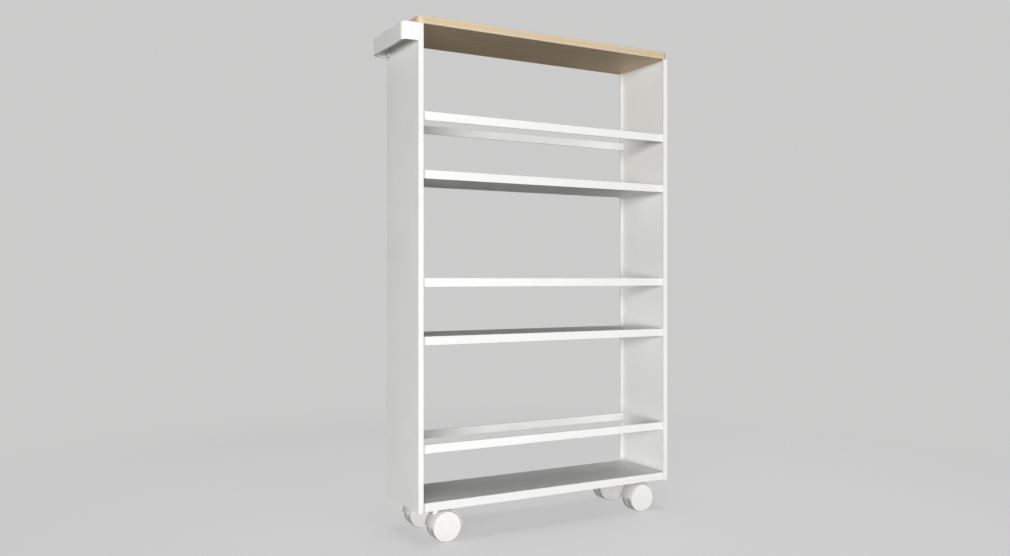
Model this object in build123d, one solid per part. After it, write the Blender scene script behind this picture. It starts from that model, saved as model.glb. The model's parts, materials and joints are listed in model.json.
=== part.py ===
from build123d import *
import os

# Rolling pantry cart: a slim open case on four hooded swivel casters, with a handle on its left end.
# Millimetres, +Z up. X runs along the case's width, Y from the front to the back.
# Origin: on the floor, at the middle of the whole cart's length and depth.

# case
case_width = 686.0
case_depth = 186.0
case_height = 1067.0
panel_edge = 12.0
panel_wall = 5.0
lip_depth = 5.0

# shelves and rails
shelf_names = ["bottom", "middle", "upper"]
shelf_thickness = 19.0
top_compartment_height = 318.0
shelf_edge_round = 0.8
rail_names = ["lower", "middle", "upper"]
rail_height = 19.0
rail_thickness = 4.0
rail_edge_round = 0.6
rail_above_shelf = 109.0

# top board
top_thickness = 18.0
top_rear_overhang = 9.0
top_corner_radius = 12.0
top_edge_round = 1.2

# handle
handle_reach = 37.0
handle_height = 38.5
handle_rear_inset = 2.5
band_thickness = 5.0
band_bend_radius = 14.0
foot_length = 12.0

# casters
wheel_radius = 34.0
caster_width = 40.0
hood_wall = 2.4
tread_clearance = 0.6
web_thickness = 10.4
web_inset = 4.0
caster_trail = 20.0
wheel_center_from_end = 73.2
wheel_center_from_face = 28.0
boss_radius = 7.5
boss_height = 14.0
cover_inset = 0.6
cover_thickness = 2.4
cover_edge_round = 0.6
tread_thickness = 3.5
tread_shoulder = 0.9
rim_wall = 2.5
hub_radius = 6.5
rib_count = 6
rib_thickness = 1.6
rib_setback = 3.0
rib_root = 0.5
axle_radius = 3.0
stem_radius = 3.0
stem_depth = 22.0
stem_thread_radius = 4.0
stem_thread_length = 13.0
stem_end_chamfer = 0.6
flange_radius = 7.0
flange_thickness = 1.2
washer_thickness = 1.0
insert_radius = 5.5
insert_length = 15.0

# snap retention on the axle ends and the stem foot
groove_width = 1.8
groove_depth = 0.5
bead_width = 1.0
bead_height = 0.3
axle_groove_from_end = 2.2
stem_groove_from_end = 3.0

# screws, plugs and pins
shelf_screw_radius = 2.0
shelf_screw_length = 42.0
shelf_screw_head_radius = 4.0
shelf_screw_head_height = 2.2
shelf_screw_from_face = 40.0
plug_radius = 4.55
plug_thickness = 1.2
rail_screw_radius = 1.5
rail_screw_head_radius = 2.9
rail_screw_head_height = 1.5
handle_screw_radius = 2.0
handle_screw_head_radius = 3.9
handle_screw_head_height = 2.6
handle_screw_from_edge = 9.625
socket_share = 0.38
socket_depth_share = 0.55
pan_round_share = 0.4
pin_radius = 1.2
pin_half_length = 13.0
pins_per_panel = 3

# clearances
running_gap = 0.05
fixed_gap = 0.02
screw_gap = 0.1
hole_end_gap = 0.3
skin_over_hole = 0.4
swivel_gap = 0.3
wheel_side_gap = 0.4

# how far a cutting shape runs past the surface it cuts
past = 1.0

# derived positions
top_depth = case_depth + top_rear_overhang
overall_length = case_width + handle_reach
left = handle_reach - overall_length / 2
right = left + case_width
front = -top_depth / 2
rear = front + case_depth
bay_radius = wheel_radius + tread_clearance
hood_radius = bay_radius + hood_wall
web_radius = wheel_radius - web_inset
cover_radius = wheel_radius - cover_inset
rim_radius = wheel_radius - tread_thickness
hood_top = wheel_radius + hood_radius
base = hood_top + swivel_gap + washer_thickness + flange_thickness
case_top = base + case_height
inner_left = left + panel_wall
inner_right = right - panel_wall
inner_front = front + lip_depth
inner_rear = rear - lip_depth
lip_middle = (panel_wall + panel_edge) / 2
wheel_width = (caster_width - web_thickness) / 2 - wheel_side_gap
axle_half = caster_width / 2 - cover_thickness - hole_end_gap
rib_depth = wheel_width - cover_thickness - rib_setback
bite_in_lip = lip_depth - hole_end_gap - skin_over_hole
bite_in_rail = rail_thickness - hole_end_gap - skin_over_hole
bite_in_foot = band_thickness - hole_end_gap - skin_over_hole

shelf_pitch = (case_height - shelf_thickness - top_compartment_height) / (len(shelf_names) - 1)
shelf_levels = [base + shelf_pitch * index for index in range(len(shelf_names))]
rail_levels = [level + shelf_thickness + rail_above_shelf for level in shelf_levels]
shelf_screw_depths = [front + shelf_screw_from_face, rear - shelf_screw_from_face]
pin_spacing = (case_depth - 2 * lip_depth) / pins_per_panel
pin_depths = [inner_front + pin_spacing * (index + 0.5) for index in range(pins_per_panel)]


def block(x_low, x_high, y_low, y_high, z_low, z_high):
    middle = Pos((x_low + x_high) / 2, (y_low + y_high) / 2, (z_low + z_high) / 2)
    return middle * Box(x_high - x_low, y_high - y_low, z_high - z_low)


def rod_x(radius, x_low, x_high, y, z):
    return Pos((x_low + x_high) / 2, y, z) * Rot(0, 90, 0) * Cylinder(radius, x_high - x_low)


def rod_y(radius, y_low, y_high, x, z):
    return Pos(x, (y_low + y_high) / 2, z) * Rot(90, 0, 0) * Cylinder(radius, y_high - y_low)


def rod_z(radius, z_low, z_high, x, y):
    return Pos(x, y, (z_low + z_high) / 2) * Cylinder(radius, z_high - z_low)


def drive_socket(head_radius, depth):
    hexagon = RegularPolygon(head_radius * socket_share, 6)
    return Pos(0, 0, -depth) * extrude(hexagon, depth)


def countersunk_screw(radius, length, head_radius, head_height):
    # the head's face is at z = 0 and the shank runs down
    head = Pos(0, 0, -head_height / 2) * Cone(radius, head_radius, head_height)
    shank = rod_z(radius, -length, -head_height, 0, 0)
    return head + shank - drive_socket(head_radius, head_height * socket_depth_share)


def countersunk_hole(radius, length, head_radius, head_height):
    # fits the screw above with the screw gap all round
    mouth = head_radius + screw_gap
    throat = radius + screw_gap
    cone = Pos(0, 0, -head_height / 2) * Cone(throat, mouth, head_height)
    return cone + rod_z(throat, -length, -head_height, 0, 0)


def pan_screw(radius, length, head_radius, head_height):
    # the head sits on z = 0 and the shank runs down
    head = rod_z(head_radius, 0, head_height, 0, 0)
    head = fillet(head.edges().group_by(Axis.Z)[-1], head_height * pan_round_share)
    shank = rod_z(radius, -length, 0, 0, 0)
    socket = drive_socket(head_radius, head_height * socket_depth_share)
    return head + shank - Pos(0, 0, head_height) * socket


def handle_screw_spots():
    # the middle of each foot, one row near the band's top edge and one near its bottom edge
    front_spot = front + band_thickness + foot_length / 2
    rear_spot = rear - handle_rear_inset - band_thickness - foot_length / 2
    low = case_top - handle_height + handle_screw_from_edge
    high = case_top - handle_screw_from_edge
    return [(y, z) for y in (front_spot, rear_spot) for z in (low, high)]


def shelf_screw_spots():
    return [(y, level + shelf_thickness / 2) for level in shelf_levels for y in shelf_screw_depths]


def screw_turn(side):
    # turns a screw built along Z so that its shank runs into the case from the given side
    return Rot(0, 90 * side, 0)


def side_panel(side):
    # side is -1 for the left panel and 1 for the right one
    outer = left if side < 0 else right
    inward = -side
    lip_face = outer + inward * panel_edge
    wall_face = outer + inward * panel_wall
    beyond = outer + inward * panel_edge * 2
    body = block(min(outer, lip_face), max(outer, lip_face), front, rear, base, case_top)
    recess = block(
        min(wall_face, beyond),
        max(wall_face, beyond),
        inner_front,
        inner_rear,
        base - past,
        case_top + past,
    )
    body = body - recess
    plug_bore = plug_radius + running_gap
    for y, z in shelf_screw_spots():
        pocket_end = outer + inward * plug_thickness
        body = body - rod_x(plug_bore, min(outer, pocket_end), max(outer, pocket_end), y, z)
        hole = countersunk_hole(
            shelf_screw_radius, panel_edge, shelf_screw_head_radius, shelf_screw_head_height
        )
        body = body - Pos(pocket_end, y, z) * screw_turn(side) * hole
    lip_x = outer + inward * lip_middle
    for level in rail_levels:
        z = level + rail_height / 2
        bite = bite_in_lip + hole_end_gap
        body = body - rod_y(rail_screw_radius + screw_gap, inner_front - bite, inner_front, lip_x, z)
        hole = countersunk_hole(
            rail_screw_radius, lip_depth * 2, rail_screw_head_radius, rail_screw_head_height
        )
        body = body - Pos(lip_x, rear, z) * Rot(-90, 0, 0) * hole
    pin_x = outer + inward * panel_wall / 2
    for y in pin_depths:
        body = body - rod_z(
            pin_radius + fixed_gap, case_top - pin_half_length - hole_end_gap, case_top, pin_x, y
        )
    if side < 0:
        for y, z in handle_screw_spots():
            body = body - rod_x(handle_screw_radius + screw_gap * 2, outer, wall_face, y, z)
    return body


def shelf(level):
    board = block(inner_left, inner_right, inner_front, inner_rear, level, level + shelf_thickness)
    board = fillet(board.edges().filter_by(Axis.X), shelf_edge_round)
    middle = level + shelf_thickness / 2
    reach = panel_wall - plug_thickness
    depth = shelf_screw_length - reach + hole_end_gap
    bore = shelf_screw_radius + running_gap
    for y in shelf_screw_depths:
        board = board - rod_x(bore, inner_left, inner_left + depth, y, middle)
        board = board - rod_x(bore, inner_right - depth, inner_right, y, middle)
    return board


def bottom_shelf():
    board = shelf(base)
    for x, y in stem_spots():
        depth = insert_length + hole_end_gap
        board = board - rod_z(insert_radius + fixed_gap, base, base + depth, x, y)
    return board


def rail(level, at_front):
    y_low = inner_front if at_front else inner_rear - rail_thickness
    y_high = y_low + rail_thickness
    bar = block(inner_left, inner_right, y_low, y_high, level, level + rail_height)
    bar = fillet(bar.edges().filter_by(Axis.X), rail_edge_round)
    z = level + rail_height / 2
    for x in (left + lip_middle, right - lip_middle):
        if at_front:
            hole = countersunk_hole(
                rail_screw_radius, rail_thickness * 2, rail_screw_head_radius, rail_screw_head_height
            )
            bar = bar - Pos(x, y_high, z) * Rot(-90, 0, 0) * hole
        else:
            bite = bite_in_rail + hole_end_gap
            bar = bar - rod_y(rail_screw_radius + running_gap, y_high - bite, y_high, x, z)
    return bar


def top_board():
    board = block(left, right, front, rear + top_rear_overhang, case_top, case_top + top_thickness)
    board = fillet(board.edges().filter_by(Axis.Z), top_corner_radius)
    board = fillet(board.edges().group_by(Axis.Z)[-1], top_edge_round)
    board = fillet(board.edges().group_by(Axis.Z)[0], top_edge_round / 2)
    for x in (left + panel_wall / 2, right - panel_wall / 2):
        for y in pin_depths:
            board = board - rod_z(
                pin_radius + fixed_gap, case_top, case_top + pin_half_length + hole_end_gap, x, y
            )
    return board


def handle():
    y_front = front
    y_rear = rear - handle_rear_inset
    z_low = case_top - handle_height
    outer = block(left - handle_reach, left, y_front, y_rear, z_low, case_top)
    outer = fillet(outer.edges().filter_by(Axis.Z).group_by(Axis.X)[0], band_bend_radius)
    opening = block(
        left - handle_reach + band_thickness,
        left + past,
        y_front + band_thickness,
        y_rear - band_thickness,
        z_low,
        case_top,
    )
    inner_radius = band_bend_radius - band_thickness
    opening = fillet(opening.edges().filter_by(Axis.Z).group_by(Axis.X)[0], inner_radius)
    band = outer - opening
    foot_front = y_front + band_thickness
    foot_rear = y_rear - band_thickness
    foot_outer = left - band_thickness
    band = band + block(foot_outer, left, foot_front, foot_front + foot_length, z_low, case_top)
    band = band + block(foot_outer, left, foot_rear - foot_length, foot_rear, z_low, case_top)
    for y, z in handle_screw_spots():
        depth = bite_in_foot + hole_end_gap
        band = band - rod_x(handle_screw_radius + running_gap, left - depth, left, y, z)
    return band


def handle_screws():
    length = panel_wall + bite_in_foot
    screw = pan_screw(handle_screw_radius, length, handle_screw_head_radius, handle_screw_head_height)
    turned = Rot(0, 90, 0) * screw
    return Compound(children=[Pos(inner_left, y, z) * turned for y, z in handle_screw_spots()])


def shelf_screws(side):
    outer = left if side < 0 else right
    head_face = outer - side * plug_thickness
    screw = countersunk_screw(
        shelf_screw_radius, shelf_screw_length, shelf_screw_head_radius, shelf_screw_head_height
    )
    turned = screw_turn(side) * screw
    return Compound(children=[Pos(head_face, y, z) * turned for y, z in shelf_screw_spots()])


def screw_plugs(side):
    outer = left if side < 0 else right
    inner_end = outer - side * plug_thickness
    low = min(outer, inner_end)
    high = max(outer, inner_end)
    return Compound(children=[rod_x(plug_radius, low, high, y, z) for y, z in shelf_screw_spots()])


def rail_screws(at_front):
    y = inner_front + rail_thickness if at_front else rear
    length = rail_thickness + bite_in_lip if at_front else lip_depth + bite_in_rail
    screw = countersunk_screw(rail_screw_radius, length, rail_screw_head_radius, rail_screw_head_height)
    turned = Rot(-90, 0, 0) * screw
    screws = []
    for level in rail_levels:
        for x in (left + lip_middle, right - lip_middle):
            screws.append(Pos(x, y, level + rail_height / 2) * turned)
    return Compound(children=screws)


def top_pins():
    pins = []
    for x in (left + panel_wall / 2, right - panel_wall / 2):
        for y in pin_depths:
            pins.append(rod_z(pin_radius, case_top - pin_half_length, case_top + pin_half_length, x, y))
    return Compound(children=pins)


def caster_spots():
    # name, wheel centre x and y, and which way along X the swivel axis lies from the wheel centre
    near_front = front + wheel_center_from_face
    near_rear = rear - wheel_center_from_face
    spots = []
    for depth_name, y in (("front", near_front), ("rear", near_rear)):
        spots.append((depth_name + "_left", left + wheel_center_from_end, y, -1))
        spots.append((depth_name + "_right", right - wheel_center_from_end, y, 1))
    return spots


def stem_spots():
    return [(x + toward * caster_trail, y) for name, x, y, toward in caster_spots()]


def insert_nuts():
    nuts = []
    for x, y in stem_spots():
        nut = rod_z(insert_radius, base, base + insert_length, x, y)
        nuts.append(nut - rod_z(stem_thread_radius + running_gap, base, base + insert_length, x, y))
    return Compound(children=nuts)


def caster_stem(x, y):
    foot = hood_top - stem_depth
    stem = rod_z(stem_thread_radius, base, base + stem_thread_length, x, y)
    stem = stem + rod_z(flange_radius, base - flange_thickness, base, x, y)
    stem = stem + rod_z(stem_radius, foot, base - flange_thickness, x, y)
    stem = chamfer(stem.edges().group_by(Axis.Z)[0], stem_end_chamfer)
    stem = chamfer(stem.edges().group_by(Axis.Z)[-1], stem_end_chamfer)
    groove_low = foot + stem_groove_from_end
    groove = rod_z(stem_radius + past, groove_low, groove_low + groove_width, x, y)
    groove = groove - rod_z(stem_radius - groove_depth, groove_low, groove_low + groove_width, x, y)
    return stem - groove


def thrust_washer(x, y):
    low = hood_top + swivel_gap
    washer = rod_z(flange_radius, low, low + washer_thickness, x, y)
    return washer - rod_z(stem_radius + running_gap, low, low + washer_thickness, x, y)


def hood(x, y, toward):
    # half-round cover and central web in one piece, with the swivel boss over the web
    half_width = caster_width / 2
    z = wheel_radius
    crown = rod_y(hood_radius, y - half_width, y + half_width, x, z)
    crown = crown - block(
        x - hood_radius - past,
        x + hood_radius + past,
        y - half_width - past,
        y + half_width + past,
        z - hood_radius - past,
        z,
    )
    boss_x = x + toward * caster_trail
    body = crown + rod_z(boss_radius, hood_top - boss_height, hood_top, boss_x, y)
    half_web = web_thickness / 2
    body = body - rod_y(bay_radius, y - half_width - past, y - half_web, x, z)
    body = body - rod_y(bay_radius, y + half_web, y + half_width + past, x, z)
    body = body + rod_y(web_radius, y - half_web, y + half_web, x, z)
    body = body - rod_y(axle_radius + fixed_gap, y - half_web - past, y + half_web + past, x, z)
    bore_foot = hood_top - stem_depth - hole_end_gap
    bore = rod_z(stem_radius + running_gap, bore_foot, hood_top + past, boss_x, y)
    groove_middle = hood_top - stem_depth + stem_groove_from_end + groove_width / 2
    bead_low = groove_middle - bead_width / 2
    bead = rod_z(stem_radius + past, bead_low, bead_low + bead_width, boss_x, y)
    bead = bead - rod_z(stem_radius - bead_height, bead_low, bead_low + bead_width, boss_x, y)
    return body - (bore - bead)


def axle(x, y):
    pin = rod_y(axle_radius, y - axle_half, y + axle_half, x, wheel_radius)
    for side in (-1, 1):
        middle = y + side * (axle_half - axle_groove_from_end - groove_width / 2)
        low = middle - groove_width / 2
        groove = rod_y(axle_radius + past, low, low + groove_width, x, wheel_radius)
        groove = groove - rod_y(axle_radius - groove_depth, low, low + groove_width, x, wheel_radius)
        pin = pin - groove
    return pin


def wheel_profile_solid(points):
    # revolves a closed outline of (radius, distance from the outer face) about the Y axis
    return revolve(make_face(Polyline(points, close=True)), Axis.Y)


def wheel_disc():
    # outer face on y = 0, inner end toward +Y, axis along Y
    bore = axle_radius + running_gap
    bead_bore = axle_radius - bead_height
    groove_middle = caster_width / 2 - axle_half + axle_groove_from_end + groove_width / 2
    bead_low = groove_middle - bead_width / 2
    bead_high = groove_middle + bead_width / 2
    rim_inner = rim_radius - rim_wall
    disc = wheel_profile_solid(
        [
            (0, 0),
            (cover_radius, 0),
            (cover_radius, cover_thickness),
            (rim_radius, cover_thickness),
            (rim_radius, wheel_width),
            (rim_inner, wheel_width),
            (rim_inner, cover_thickness),
            (hub_radius, cover_thickness),
            (hub_radius, wheel_width),
            (bore, wheel_width),
            (bore, bead_high),
            (bead_bore, bead_high),
            (bead_bore, bead_low),
            (bore, bead_low),
            (bore, cover_thickness),
            (0, cover_thickness),
        ]
    )
    disc = fillet(disc.edges().group_by(Axis.Y)[0], cover_edge_round)
    rib = block(
        hub_radius - rib_root,
        rim_inner + rib_root,
        cover_thickness - rib_root,
        cover_thickness + rib_depth,
        -rib_thickness / 2,
        rib_thickness / 2,
    )
    for index in range(rib_count):
        disc = disc + Rot(0, 360 / rib_count * index, 0) * rib
    return disc


def tyre_ring():
    inner = rim_radius + fixed_gap
    return wheel_profile_solid(
        [
            (inner, cover_thickness),
            (wheel_radius - tread_shoulder, cover_thickness),
            (wheel_radius, cover_thickness + tread_shoulder),
            (wheel_radius, wheel_width - tread_shoulder),
            (wheel_radius - tread_shoulder, wheel_width),
            (inner, wheel_width),
        ]
    )


def place_wheel(piece, x, y, side):
    # side is -1 for the wheel on the caster's front side and 1 for the one behind the web
    turn = Rot(0, 0, 0) if side < 0 else Rot(0, 0, 180)
    return Pos(x, y + side * caster_width / 2, wheel_radius) * turn * piece


def save(shape, node):
    export_step(shape, "parts/" + node + ".step")


def save_case():
    save(side_panel(-1), "side_panel_left")
    save(side_panel(1), "side_panel_right")
    save(bottom_shelf(), "bottom_shelf")
    for name, level in list(zip(shelf_names, shelf_levels))[1:]:
        save(shelf(level), name + "_shelf")
    for name, level in zip(rail_names, rail_levels):
        save(rail(level, True), "front_rail_" + name)
        save(rail(level, False), "rear_rail_" + name)
    save(top_board(), "top_board")
    save(handle(), "handle")
    save(handle_screws(), "handle_screws")
    save(shelf_screws(-1), "shelf_screws_left")
    save(shelf_screws(1), "shelf_screws_right")
    save(screw_plugs(-1), "screw_plugs_left")
    save(screw_plugs(1), "screw_plugs_right")
    save(rail_screws(True), "front_rail_screws")
    save(rail_screws(False), "rear_rail_screws")
    save(top_pins(), "top_pins")
    save(insert_nuts(), "insert_nuts")


def save_casters():
    disc = wheel_disc()
    tyre = tyre_ring()
    for name, x, y, toward in caster_spots():
        stem_x = x + toward * caster_trail
        save(caster_stem(stem_x, y), "stem_" + name)
        save(thrust_washer(stem_x, y), "washer_" + name)
        save(hood(x, y, toward), "hood_" + name)
        save(axle(x, y), "axle_" + name)
        for wheel_name, side in (("a", -1), ("b", 1)):
            save(place_wheel(disc, x, y, side), "wheel_" + name + "_" + wheel_name)
            save(place_wheel(tyre, x, y, side), "tyre_" + name + "_" + wheel_name)


os.makedirs("parts", exist_ok=True)
save_case()
save_casters()
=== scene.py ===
import json
import math
import bmesh
import bpy
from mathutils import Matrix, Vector


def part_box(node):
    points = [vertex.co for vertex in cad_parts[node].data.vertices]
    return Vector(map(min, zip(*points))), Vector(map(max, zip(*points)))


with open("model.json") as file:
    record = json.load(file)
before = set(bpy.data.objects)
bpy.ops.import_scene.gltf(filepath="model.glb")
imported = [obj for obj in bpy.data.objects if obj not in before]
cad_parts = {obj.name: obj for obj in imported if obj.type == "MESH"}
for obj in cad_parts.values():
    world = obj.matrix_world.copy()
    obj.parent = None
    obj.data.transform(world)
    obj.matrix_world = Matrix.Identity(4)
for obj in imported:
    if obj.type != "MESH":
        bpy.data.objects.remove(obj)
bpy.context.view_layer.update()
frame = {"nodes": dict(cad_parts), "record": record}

nodes = frame["nodes"]
record = frame["record"]
slot_of = {entry["node"]: entry["material_slot"] for entry in record["subparts"]}

# ---- camera, in metres from the case's lower left front corner ----
CAMERA_OFFSET = Vector((-0.7777, -1.7906, 0.5124))
CAMERA_YAW = math.radians(28.994)
CAMERA_LENS = 31.92

# ---- light and backdrop: metres, watts, and azimuths turned from the front toward the left ----
BACKGROUND = 0.60
AMBIENT = 0.03
FLOOR_ALBEDO = 0.26
FLOOR_GLOW = 0.465
FLOOR_RADIUS = 6.0
FLOOR_SIDES = 96
FLOOR_FADE_START = 0.8
FLOOR_FADE_END = 2.2
LIGHT_DISTANCE = 6.5
LIGHT_HEIGHT = 0.80
AIM_HEIGHT = 0.6
KEY_AZIMUTH = math.radians(42)
KEY_SIZE = (3.5, 2.1)
KEY_POWER = 420.0
FILL_AZIMUTH = math.radians(-8)
FILL_SIZE = (2.2, 3.2)
FILL_POWER = 128.0
BACK_AZIMUTH = math.radians(240)
BACK_POWER = 100.0
OVERHEAD_POWER = 10.0
OVERHEAD_SIZE = 3.2
OVERHEAD_HEIGHT = 5.0
OVERHEAD_SPREAD = math.radians(25)

# ---- the middle range of a noise texture's values ----
NOISE_LOW = 0.3
NOISE_HIGH = 0.7

# ---- colours, 0-255 sRGB ----
BOARD_PAINT = ((238, 238, 235), (243, 243, 241))
BOARD_BRUSH_MARK = (229, 228, 222)
BOARD_RUBBED = (214, 209, 197)
# painted shade colour for the board's corners and joints
BOARD_PAINTED_SHADE = (150, 146, 136)
ENAMEL = ((241, 242, 240), (246, 246, 245))
ENAMEL_KNOCK = (196, 196, 194)
# painted shade colour for the enamel's corners and joints
ENAMEL_PAINTED_SHADE = (150, 148, 142)
WOOD_EARLY = ((224, 206, 178), (217, 197, 166))
WOOD_LATE = (184, 155, 115)
WOOD_FIBRE = (198, 171, 132)
WOOD_PORE = (140, 108, 70)
WOOD_WORN_EDGE = (160, 130, 92)
ZINC = ((176, 178, 181), (196, 197, 196))
BRASS = ((196, 160, 92), (174, 136, 74))
PLASTIC_SCUFF = (170, 168, 163)
PLASTIC_EDGE = (188, 186, 181)
# painted shade colour for the plastic's corners and recesses
PLASTIC_PAINTED_SHADE = (128, 125, 119)
NYLON = ((218, 215, 204), (226, 223, 212))
HOOD = ((218, 218, 215), (226, 226, 223))
WHEEL = ((244, 243, 240), (249, 248, 246))
TREAD = ((190, 190, 187), (172, 170, 165))

# ---- edge breaks on the CAD pieces: sizes in metres, and widths by material slot ----
WELD_DISTANCE = 0.000002
BREAK_SEGMENTS = 2
SHARPEST_KEPT = math.radians(50)
EDGE_BREAK = {
    "white_painted_board": 0.0006,
    "white_painted_steel": 0.0005,
    "bare_wood": 0.0004,
    "white_plastic": 0.0005,
    "wheel_plastic": 0.0004,
    "grey_tread": 0.0003,
}


def linear(srgb):
    """A linear colour from 0-255 sRGB values."""
    out = []
    for value in srgb:
        share = value / 255
        out.append(share / 12.92 if share <= 0.04045 else ((share + 0.055) / 1.055) ** 2.4)
    return (*out, 1.0)


class Shader:
    """A material being wired: short calls for the nodes used below."""

    def __init__(self, name):
        self.material = bpy.data.materials.new(name)
        self.material.use_nodes = True
        self.tree = self.material.node_tree
        self.surface = self.tree.nodes["Principled BSDF"]
        coords = self.tree.nodes.new("ShaderNodeTexCoord")
        self.position = coords.outputs["Object"]

    def add(self, kind, **settings):
        node = self.tree.nodes.new(kind)
        for key, value in settings.items():
            setattr(node, key, value)
        return node

    def link(self, source, target):
        self.tree.links.new(source, target)

    def put(self, target, value):
        if isinstance(value, bpy.types.NodeSocket):
            self.link(value, target)
        else:
            target.default_value = value

    def stretched(self, scale, offset=(0, 0, 0), turn=(0, 0, 0)):
        node = self.add("ShaderNodeMapping")
        self.link(self.position, node.inputs["Vector"])
        node.inputs["Location"].default_value = offset
        node.inputs["Rotation"].default_value = turn
        node.inputs["Scale"].default_value = scale
        return node.outputs["Vector"]

    def noise(self, scale, detail=3.0, roughness=0.5, distortion=0.0, vector=None):
        node = self.add("ShaderNodeTexNoise")
        self.link(vector or self.position, node.inputs["Vector"])
        node.inputs["Scale"].default_value = scale
        node.inputs["Detail"].default_value = detail
        node.inputs["Roughness"].default_value = roughness
        node.inputs["Distortion"].default_value = distortion
        return node.outputs["Fac"]

    def ramp(self, value, stops):
        node = self.add("ShaderNodeValToRGB")
        self.link(value, node.inputs["Fac"])
        elements = node.color_ramp.elements
        while len(elements) < len(stops):
            elements.new(0.5)
        for element, (place, colour) in zip(elements, stops):
            element.position = place
            element.color = colour if hasattr(colour, "__len__") else (colour, colour, colour, 1)
        return node.outputs["Color"]

    def span(self, value, colours):
        """Runs from the first colour to the second over a noise's middle range."""
        low, high = colours
        return self.ramp(value, [(NOISE_LOW, linear(low)), (NOISE_HIGH, linear(high))])

    def math(self, operation, first, second=0.0, third=0.0, clamp=False):
        node = self.add("ShaderNodeMath", operation=operation, use_clamp=clamp)
        self.put(node.inputs[0], first)
        self.put(node.inputs[1], second)
        self.put(node.inputs[2], third)
        return node.outputs[0]

    def fit(self, value, low, high):
        """Spreads a noise's middle range over low to high."""
        node = self.add("ShaderNodeMapRange")
        self.put(node.inputs["Value"], value)
        node.inputs["From Min"].default_value = NOISE_LOW
        node.inputs["From Max"].default_value = NOISE_HIGH
        node.inputs["To Min"].default_value = low
        node.inputs["To Max"].default_value = high
        return node.outputs["Result"]

    def mix(self, share, first, second, blend="MIX"):
        node = self.add("ShaderNodeMix", data_type="RGBA", blend_type=blend)
        self.put(node.inputs[0], share)
        self.put(node.inputs[6], first)
        self.put(node.inputs[7], second)
        return node.outputs[2]

    def edges(self, radius, low, high):
        """A mask that is 1 on outer and inner corners narrower than the radius."""
        rounded = self.add("ShaderNodeBevel", samples=4)
        rounded.inputs["Radius"].default_value = radius
        geometry = self.add("ShaderNodeNewGeometry")
        dot = self.add("ShaderNodeVectorMath", operation="DOT_PRODUCT")
        self.link(rounded.outputs["Normal"], dot.inputs[0])
        self.link(geometry.outputs["Normal"], dot.inputs[1])
        apart = self.math("SUBTRACT", 1.0, dot.outputs["Value"])
        node = self.add("ShaderNodeMapRange")
        self.link(apart, node.inputs["Value"])
        node.inputs["From Min"].default_value = low
        node.inputs["From Max"].default_value = high
        return node.outputs["Result"]

    def painted_corner_shade(self, reach, most):
        """A painted-shade mask from ambient occlusion: it rises to the given share in corners and
        joints, where shade falls.
        """
        nearby = self.add("ShaderNodeAmbientOcclusion", samples=6)
        nearby.inputs["Distance"].default_value = reach
        closed = self.math("SUBTRACT", 1.0, nearby.outputs["AO"])
        patchy = self.fit(self.noise(70.0, 3.0, 0.6), 0.7, 1.0)
        return self.math("MULTIPLY", self.math("MULTIPLY", closed, patchy), 2 * most, clamp=True)

    def bump(self, layers):
        """layers: (height socket, strength, distance in metres), from broad to fine."""
        normal = None
        for height, strength, distance in layers:
            node = self.add("ShaderNodeBump")
            node.inputs["Strength"].default_value = strength
            node.inputs["Distance"].default_value = distance
            self.link(height, node.inputs["Height"])
            if normal is not None:
                self.link(normal, node.inputs["Normal"])
            normal = node.outputs["Normal"]
        self.link(normal, self.surface.inputs["Normal"])

    def finish(self, colour, roughness, metallic=0.0, **values):
        self.put(self.surface.inputs["Base Color"], colour)
        self.put(self.surface.inputs["Roughness"], roughness)
        self.put(self.surface.inputs["Metallic"], metallic)
        for key, value in values.items():
            self.surface.inputs[key.replace("_", " ")].default_value = value
        return self.material


def painted_board(name, along):
    """Satin white paint on board: brush drag along the grain, fine stipple, slightly rubbed edges."""
    s = Shader(name)
    drag_scale = [260.0, 260.0, 260.0]
    drag_scale["XYZ".index(along)] = 9.0
    drag = s.noise(1.0, 4.0, 0.6, 0.3, s.stretched(drag_scale))
    stipple = s.noise(1400.0, 2.0, 0.6)
    broad = s.noise(5.0, 3.0, 0.55)
    tone = s.span(broad, BOARD_PAINT)
    tone = s.mix(s.fit(drag, 0.0, 0.16), tone, linear(BOARD_BRUSH_MARK))
    worn = s.fit(s.noise(90.0, 4.0, 0.65), 0.0, 0.7)
    rubbed = s.math("MULTIPLY", s.edges(0.0016, 0.02, 0.25), worn)
    tone = s.mix(rubbed, tone, linear(BOARD_RUBBED))
    # painted shade: corners and joints darkened through an ambient-occlusion mask
    tone = s.mix(s.painted_corner_shade(0.012, 0.30), tone, linear(BOARD_PAINTED_SHADE))
    rough = s.math("ADD", s.fit(broad, 0.50, 0.60), s.fit(stipple, -0.03, 0.05))
    s.bump([(drag, 0.22, 0.0004), (stipple, 0.10, 0.00012)])
    return s.finish(tone, rough, Specular_IOR_Level=0.4, Coat_Weight=0.06, Coat_Roughness=0.45)


def painted_steel(name):
    """Sprayed white enamel on flat bar: orange peel, a few knocks on the arrises."""
    s = Shader(name)
    peel = s.noise(520.0, 2.0, 0.45)
    broad = s.noise(9.0, 3.0, 0.5)
    tone = s.span(broad, ENAMEL)
    worn = s.fit(s.noise(160.0, 3.0, 0.6), -0.5, 0.7)
    knocks = s.math("MULTIPLY", s.edges(0.0010, 0.03, 0.25), worn, clamp=True)
    tone = s.mix(knocks, tone, linear(ENAMEL_KNOCK))
    # painted shade: corners and joints darkened through an ambient-occlusion mask
    tone = s.mix(s.painted_corner_shade(0.008, 0.22), tone, linear(ENAMEL_PAINTED_SHADE))
    rough = s.math("ADD", s.fit(broad, 0.27, 0.36), s.fit(peel, -0.02, 0.04))
    s.bump([(peel, 0.16, 0.00015)])
    return s.finish(tone, rough, Coat_Weight=0.25, Coat_Roughness=0.2)


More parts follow.
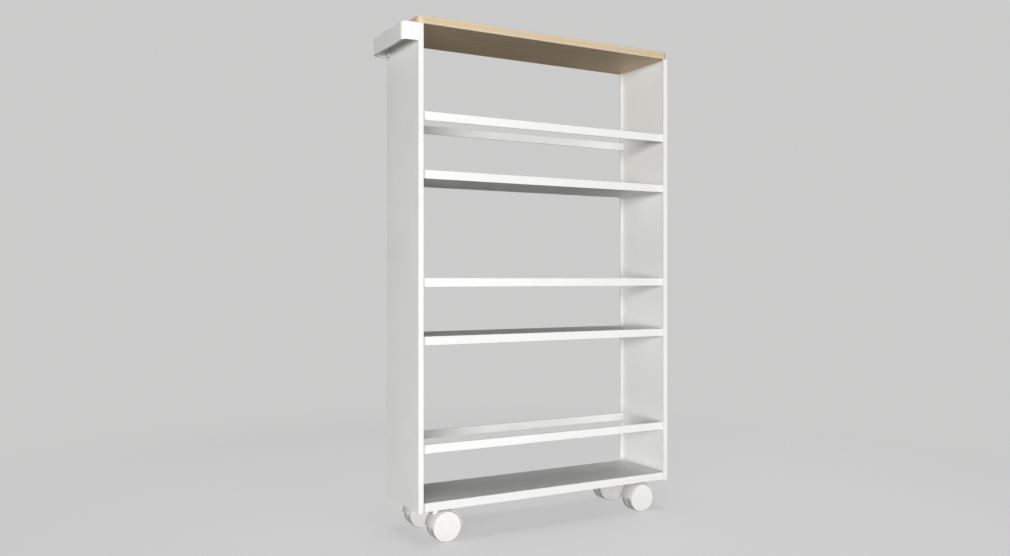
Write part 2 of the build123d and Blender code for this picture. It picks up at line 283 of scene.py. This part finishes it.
def bare_wood(name):
    """Oiled light hardwood, its grain along X: growth rings, fibre streaks, pores."""
    s = Shader(name)
    wander = s.noise(1.0, 3.0, 0.5, 0.0, s.stretched((1.6, 9.0, 9.0)))
    bend = s.add("ShaderNodeVectorMath", operation="MULTIPLY_ADD")
    shift = s.add("ShaderNodeCombineXYZ")
    s.link(wander, shift.inputs["Y"])
    s.link(wander, shift.inputs["Z"])
    s.link(shift.outputs["Vector"], bend.inputs[0])
    bend.inputs[1].default_value = (0.0, 0.020, 0.012)
    s.link(s.stretched((1, 1, 1), (0.0, 0.03, -1.075)), bend.inputs[2])
    rings = s.add("ShaderNodeTexWave", wave_type="RINGS", rings_direction="X", wave_profile="SAW")
    s.link(bend.outputs["Vector"], rings.inputs["Vector"])
    rings.inputs["Scale"].default_value = 34.0
    rings.inputs["Distortion"].default_value = 0.8
    rings.inputs["Detail"].default_value = 2.0
    rings.inputs["Detail Scale"].default_value = 1.5
    fibre = s.noise(1.0, 5.0, 0.6, 0.2, s.stretched((14.0, 420.0, 420.0)))
    pores = s.noise(1.0, 2.0, 0.5, 0.0, s.stretched((60.0, 1500.0, 1500.0)))
    patch = s.noise(3.0, 3.0, 0.5, 0.0, s.stretched((1.0, 2.5, 2.5)))
    early = s.span(patch, WOOD_EARLY)
    tone = s.mix(s.math("MULTIPLY", rings.outputs["Fac"], 0.34), early, linear(WOOD_LATE))
    tone = s.mix(s.fit(fibre, 0.0, 0.30), tone, linear(WOOD_FIBRE))
    specks = s.math("LESS_THAN", pores, 0.36)
    tone = s.mix(s.math("MULTIPLY", specks, 0.30), tone, linear(WOOD_PORE))
    worn = s.math("MULTIPLY", s.edges(0.0016, 0.02, 0.3), 0.22)
    tone = s.mix(worn, tone, linear(WOOD_WORN_EDGE))
    rough = s.math("ADD", s.fit(fibre, 0.46, 0.60), s.math("MULTIPLY", rings.outputs["Fac"], 0.05))
    s.bump([(rings.outputs["Fac"], 0.10, 0.0003), (fibre, 0.28, 0.0003), (pores, 0.18, 0.0002)])
    return s.finish(tone, rough)


def zinc_steel(name):
    """Zinc plate: faint spangle and a dull satin."""
    s = Shader(name)
    cells = s.add("ShaderNodeTexVoronoi")
    s.link(s.position, cells.inputs["Vector"])
    cells.inputs["Scale"].default_value = 420.0
    spangle = cells.outputs["Color"]
    fine = s.noise(900.0, 3.0, 0.6)
    tone = s.mix(s.fit(fine, 0.0, 0.5), linear(ZINC[0]), linear(ZINC[1]))
    tone = s.mix(0.10, tone, spangle, "OVERLAY")
    s.bump([(fine, 0.15, 0.0001)])
    return s.finish(tone, s.fit(fine, 0.26, 0.42), 1.0)


def brass(name):
    """Plain brass, dulled in patches."""
    s = Shader(name)
    fine = s.noise(600.0, 3.0, 0.6)
    tone = s.mix(s.fit(fine, 0.0, 1.0), linear(BRASS[0]), linear(BRASS[1]))
    s.bump([(fine, 0.2, 0.0001)])
    return s.finish(tone, s.fit(fine, 0.25, 0.4), 1.0)


def moulded_plastic(name, colours, rough_low, rough_high, grain_scale, grain_strength):
    """Injection-moulded plastic: spark-eroded grain, slight sheen, scuffed where it sticks out."""
    s = Shader(name)
    grain = s.noise(grain_scale, 2.0, 0.55)
    broad = s.noise(22.0, 3.0, 0.5)
    tone = s.span(broad, colours)
    scuffs = s.noise(1.0, 4.0, 0.7, 0.6, s.stretched((60.0, 160.0, 90.0)))
    tone = s.mix(s.fit(scuffs, -0.05, 0.07), tone, linear(PLASTIC_SCUFF))
    worn = s.math("MULTIPLY", s.edges(0.0009, 0.03, 0.3), 0.25)
    tone = s.mix(worn, tone, linear(PLASTIC_EDGE))
    # painted shade: corners and recesses darkened through an ambient-occlusion mask
    tone = s.mix(s.painted_corner_shade(0.006, 0.35), tone, linear(PLASTIC_PAINTED_SHADE))
    rough = s.math("ADD", s.fit(scuffs, rough_low, rough_high), s.fit(grain, -0.02, 0.03))
    s.bump([(scuffs, 0.05, 0.0002), (grain, grain_strength, 0.0001)])
    return s.finish(tone, rough, Subsurface_Weight=0.03, Subsurface_Scale=0.002)


def tread(name):
    """Grey tread rubber: chalky, with dust picked up from the floor."""
    s = Shader(name)
    grain = s.noise(1100.0, 3.0, 0.6)
    dust = s.noise(1.0, 4.0, 0.65, 0.3, s.stretched((110.0, 30.0, 110.0)))
    tone = s.mix(s.fit(dust, 0.0, 0.6), linear(TREAD[0]), linear(TREAD[1]))
    s.bump([(grain, 0.25, 0.0002), (dust, 0.10, 0.0003)])
    return s.finish(tone, s.fit(dust, 0.62, 0.82))


def floor_material():
    """Pale studio floor that fades into the background far from the object."""
    s = Shader("studio_floor")
    darker = FLOOR_ALBEDO * 0.985
    tone = s.ramp(s.noise(1.2, 3.0, 0.5), [(NOISE_LOW, darker), (NOISE_HIGH, FLOOR_ALBEDO)])
    s.finish(tone, 0.85, Specular_IOR_Level=0.1)
    away = s.add("ShaderNodeVectorMath", operation="LENGTH")
    s.link(s.position, away.inputs[0])
    fade = s.add("ShaderNodeMapRange", interpolation_type="SMOOTHERSTEP")
    s.link(away.outputs["Value"], fade.inputs["Value"])
    fade.inputs["From Min"].default_value = FLOOR_FADE_START
    fade.inputs["From Max"].default_value = FLOOR_FADE_END
    path = s.add("ShaderNodeLightPath")
    glow = s.add("ShaderNodeEmission")
    s.link(s.math("MULTIPLY", path.outputs["Is Camera Ray"], FLOOR_GLOW), glow.inputs["Strength"])
    lit = s.add("ShaderNodeAddShader")
    s.link(s.surface.outputs["BSDF"], lit.inputs[0])
    s.link(glow.outputs["Emission"], lit.inputs[1])
    clear = s.add("ShaderNodeBsdfTransparent")
    join = s.add("ShaderNodeMixShader")
    s.link(fade.outputs["Result"], join.inputs["Fac"])
    s.link(lit.outputs["Shader"], join.inputs[1])
    s.link(clear.outputs["BSDF"], join.inputs[2])
    s.link(join.outputs["Shader"], s.tree.nodes["Material Output"].inputs["Surface"])
    return s.material


def make_materials():
    return {
        "white_painted_board": painted_board("painted_board_long", "X"),
        "white_painted_steel": painted_steel("painted_steel"),
        "bare_wood": bare_wood("oiled_wood"),
        "zinc_steel": zinc_steel("zinc_plate"),
        "white_filler": painted_board("painted_filler", "Z"),
        "brass": brass("plain_brass"),
        "nylon": moulded_plastic("nylon", NYLON, 0.4, 0.5, 900.0, 0.1),
        "white_plastic": moulded_plastic("hood_plastic", HOOD, 0.42, 0.56, 1300.0, 0.22),
        "wheel_plastic": moulded_plastic("wheel_plastic", WHEEL, 0.28, 0.42, 1500.0, 0.08),
        "grey_tread": tread("tread_rubber"),
    }


def dress_nodes(materials):
    upright = painted_board("painted_board_upright", "Z")
    for name, node in nodes.items():
        slot_name = slot_of[name]
        material = materials[slot_name]
        if name.startswith("side_panel"):
            material = upright
        if not node.material_slots:
            node.data.materials.append(material)
        for place in node.material_slots:
            place.link = "OBJECT"
            place.material = material
        width = EDGE_BREAK.get(slot_name)
        if width:
            weld = node.modifiers.new("weld", "WELD")
            weld.merge_threshold = WELD_DISTANCE
            rounding = node.modifiers.new("edge_break", "BEVEL")
            rounding.width = width
            rounding.segments = BREAK_SEGMENTS
            rounding.limit_method = "ANGLE"
            rounding.angle_limit = SHARPEST_KEPT
            rounding.harden_normals = True
            rounding.use_clamp_overlap = True


def make_floor():
    mesh = bpy.data.meshes.new("studio_floor")
    shape = bmesh.new()
    bmesh.ops.create_circle(shape, cap_ends=True, segments=FLOOR_SIDES, radius=FLOOR_RADIUS)
    shape.to_mesh(mesh)
    shape.free()
    floor = bpy.data.objects.new("studio_floor", mesh)
    bpy.context.collection.objects.link(floor)
    floor.data.materials.append(floor_material())


def make_world():
    """Even surroundings: dimmer as light than as the backdrop the camera sees."""
    world = bpy.data.worlds.new("studio")
    bpy.context.scene.world = world
    world.use_nodes = True
    tree = world.node_tree
    background = tree.nodes["Background"]
    path = tree.nodes.new("ShaderNodeLightPath")
    strength = tree.nodes.new("ShaderNodeMapRange")
    tree.links.new(path.outputs["Is Camera Ray"], strength.inputs["Value"])
    strength.inputs["To Min"].default_value = AMBIENT
    strength.inputs["To Max"].default_value = BACKGROUND
    background.inputs["Color"].default_value = (1.0, 1.0, 0.995, 1.0)
    tree.links.new(strength.outputs["Result"], background.inputs["Strength"])


def area_light(name, place, target, width, height, power, spread=math.pi):
    data = bpy.data.lights.new(name, "AREA")
    data.shape = "RECTANGLE"
    data.size = width
    data.size_y = height
    data.energy = power
    data.spread = spread
    light = bpy.data.objects.new(name, data)
    light.location = place
    light.rotation_euler = (Vector(target) - Vector(place)).to_track_quat("-Z", "Y").to_euler()
    light.visible_camera = False
    bpy.context.collection.objects.link(light)


def make_lights():
    middle = (0.0, 0.0, AIM_HEIGHT)
    lights = (
        ("key", KEY_AZIMUTH, KEY_SIZE, KEY_POWER),
        ("fill", FILL_AZIMUTH, FILL_SIZE, FILL_POWER),
        ("back", BACK_AZIMUTH, KEY_SIZE, BACK_POWER),
    )
    for name, azimuth, size, power in lights:
        across = -math.sin(azimuth) * LIGHT_DISTANCE
        along = -math.cos(azimuth) * LIGHT_DISTANCE
        area_light(name, (across, along, LIGHT_HEIGHT), middle, *size, power)
    above = (0.0, 0.0, OVERHEAD_HEIGHT)
    area_light(
        "overhead", above, (0.0, 0.0, 0.0), OVERHEAD_SIZE, OVERHEAD_SIZE, OVERHEAD_POWER, OVERHEAD_SPREAD
    )


def make_camera():
    corner = Vector(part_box("side_panel_left")[0])
    data = bpy.data.cameras.new("photo_camera")
    data.sensor_width = 36.0
    data.lens = CAMERA_LENS
    data.clip_end = 100.0
    camera = bpy.data.objects.new("photo_camera", data)
    camera.location = corner + CAMERA_OFFSET
    camera.rotation_euler = (math.radians(90), 0.0, -CAMERA_YAW)
    bpy.context.collection.objects.link(camera)
    bpy.context.scene.camera = camera


bpy.context.scene.view_settings.view_transform = "Standard"
bpy.context.scene.view_settings.look = "None"
dress_nodes(make_materials())
make_floor()
make_world()
make_lights()
make_camera()
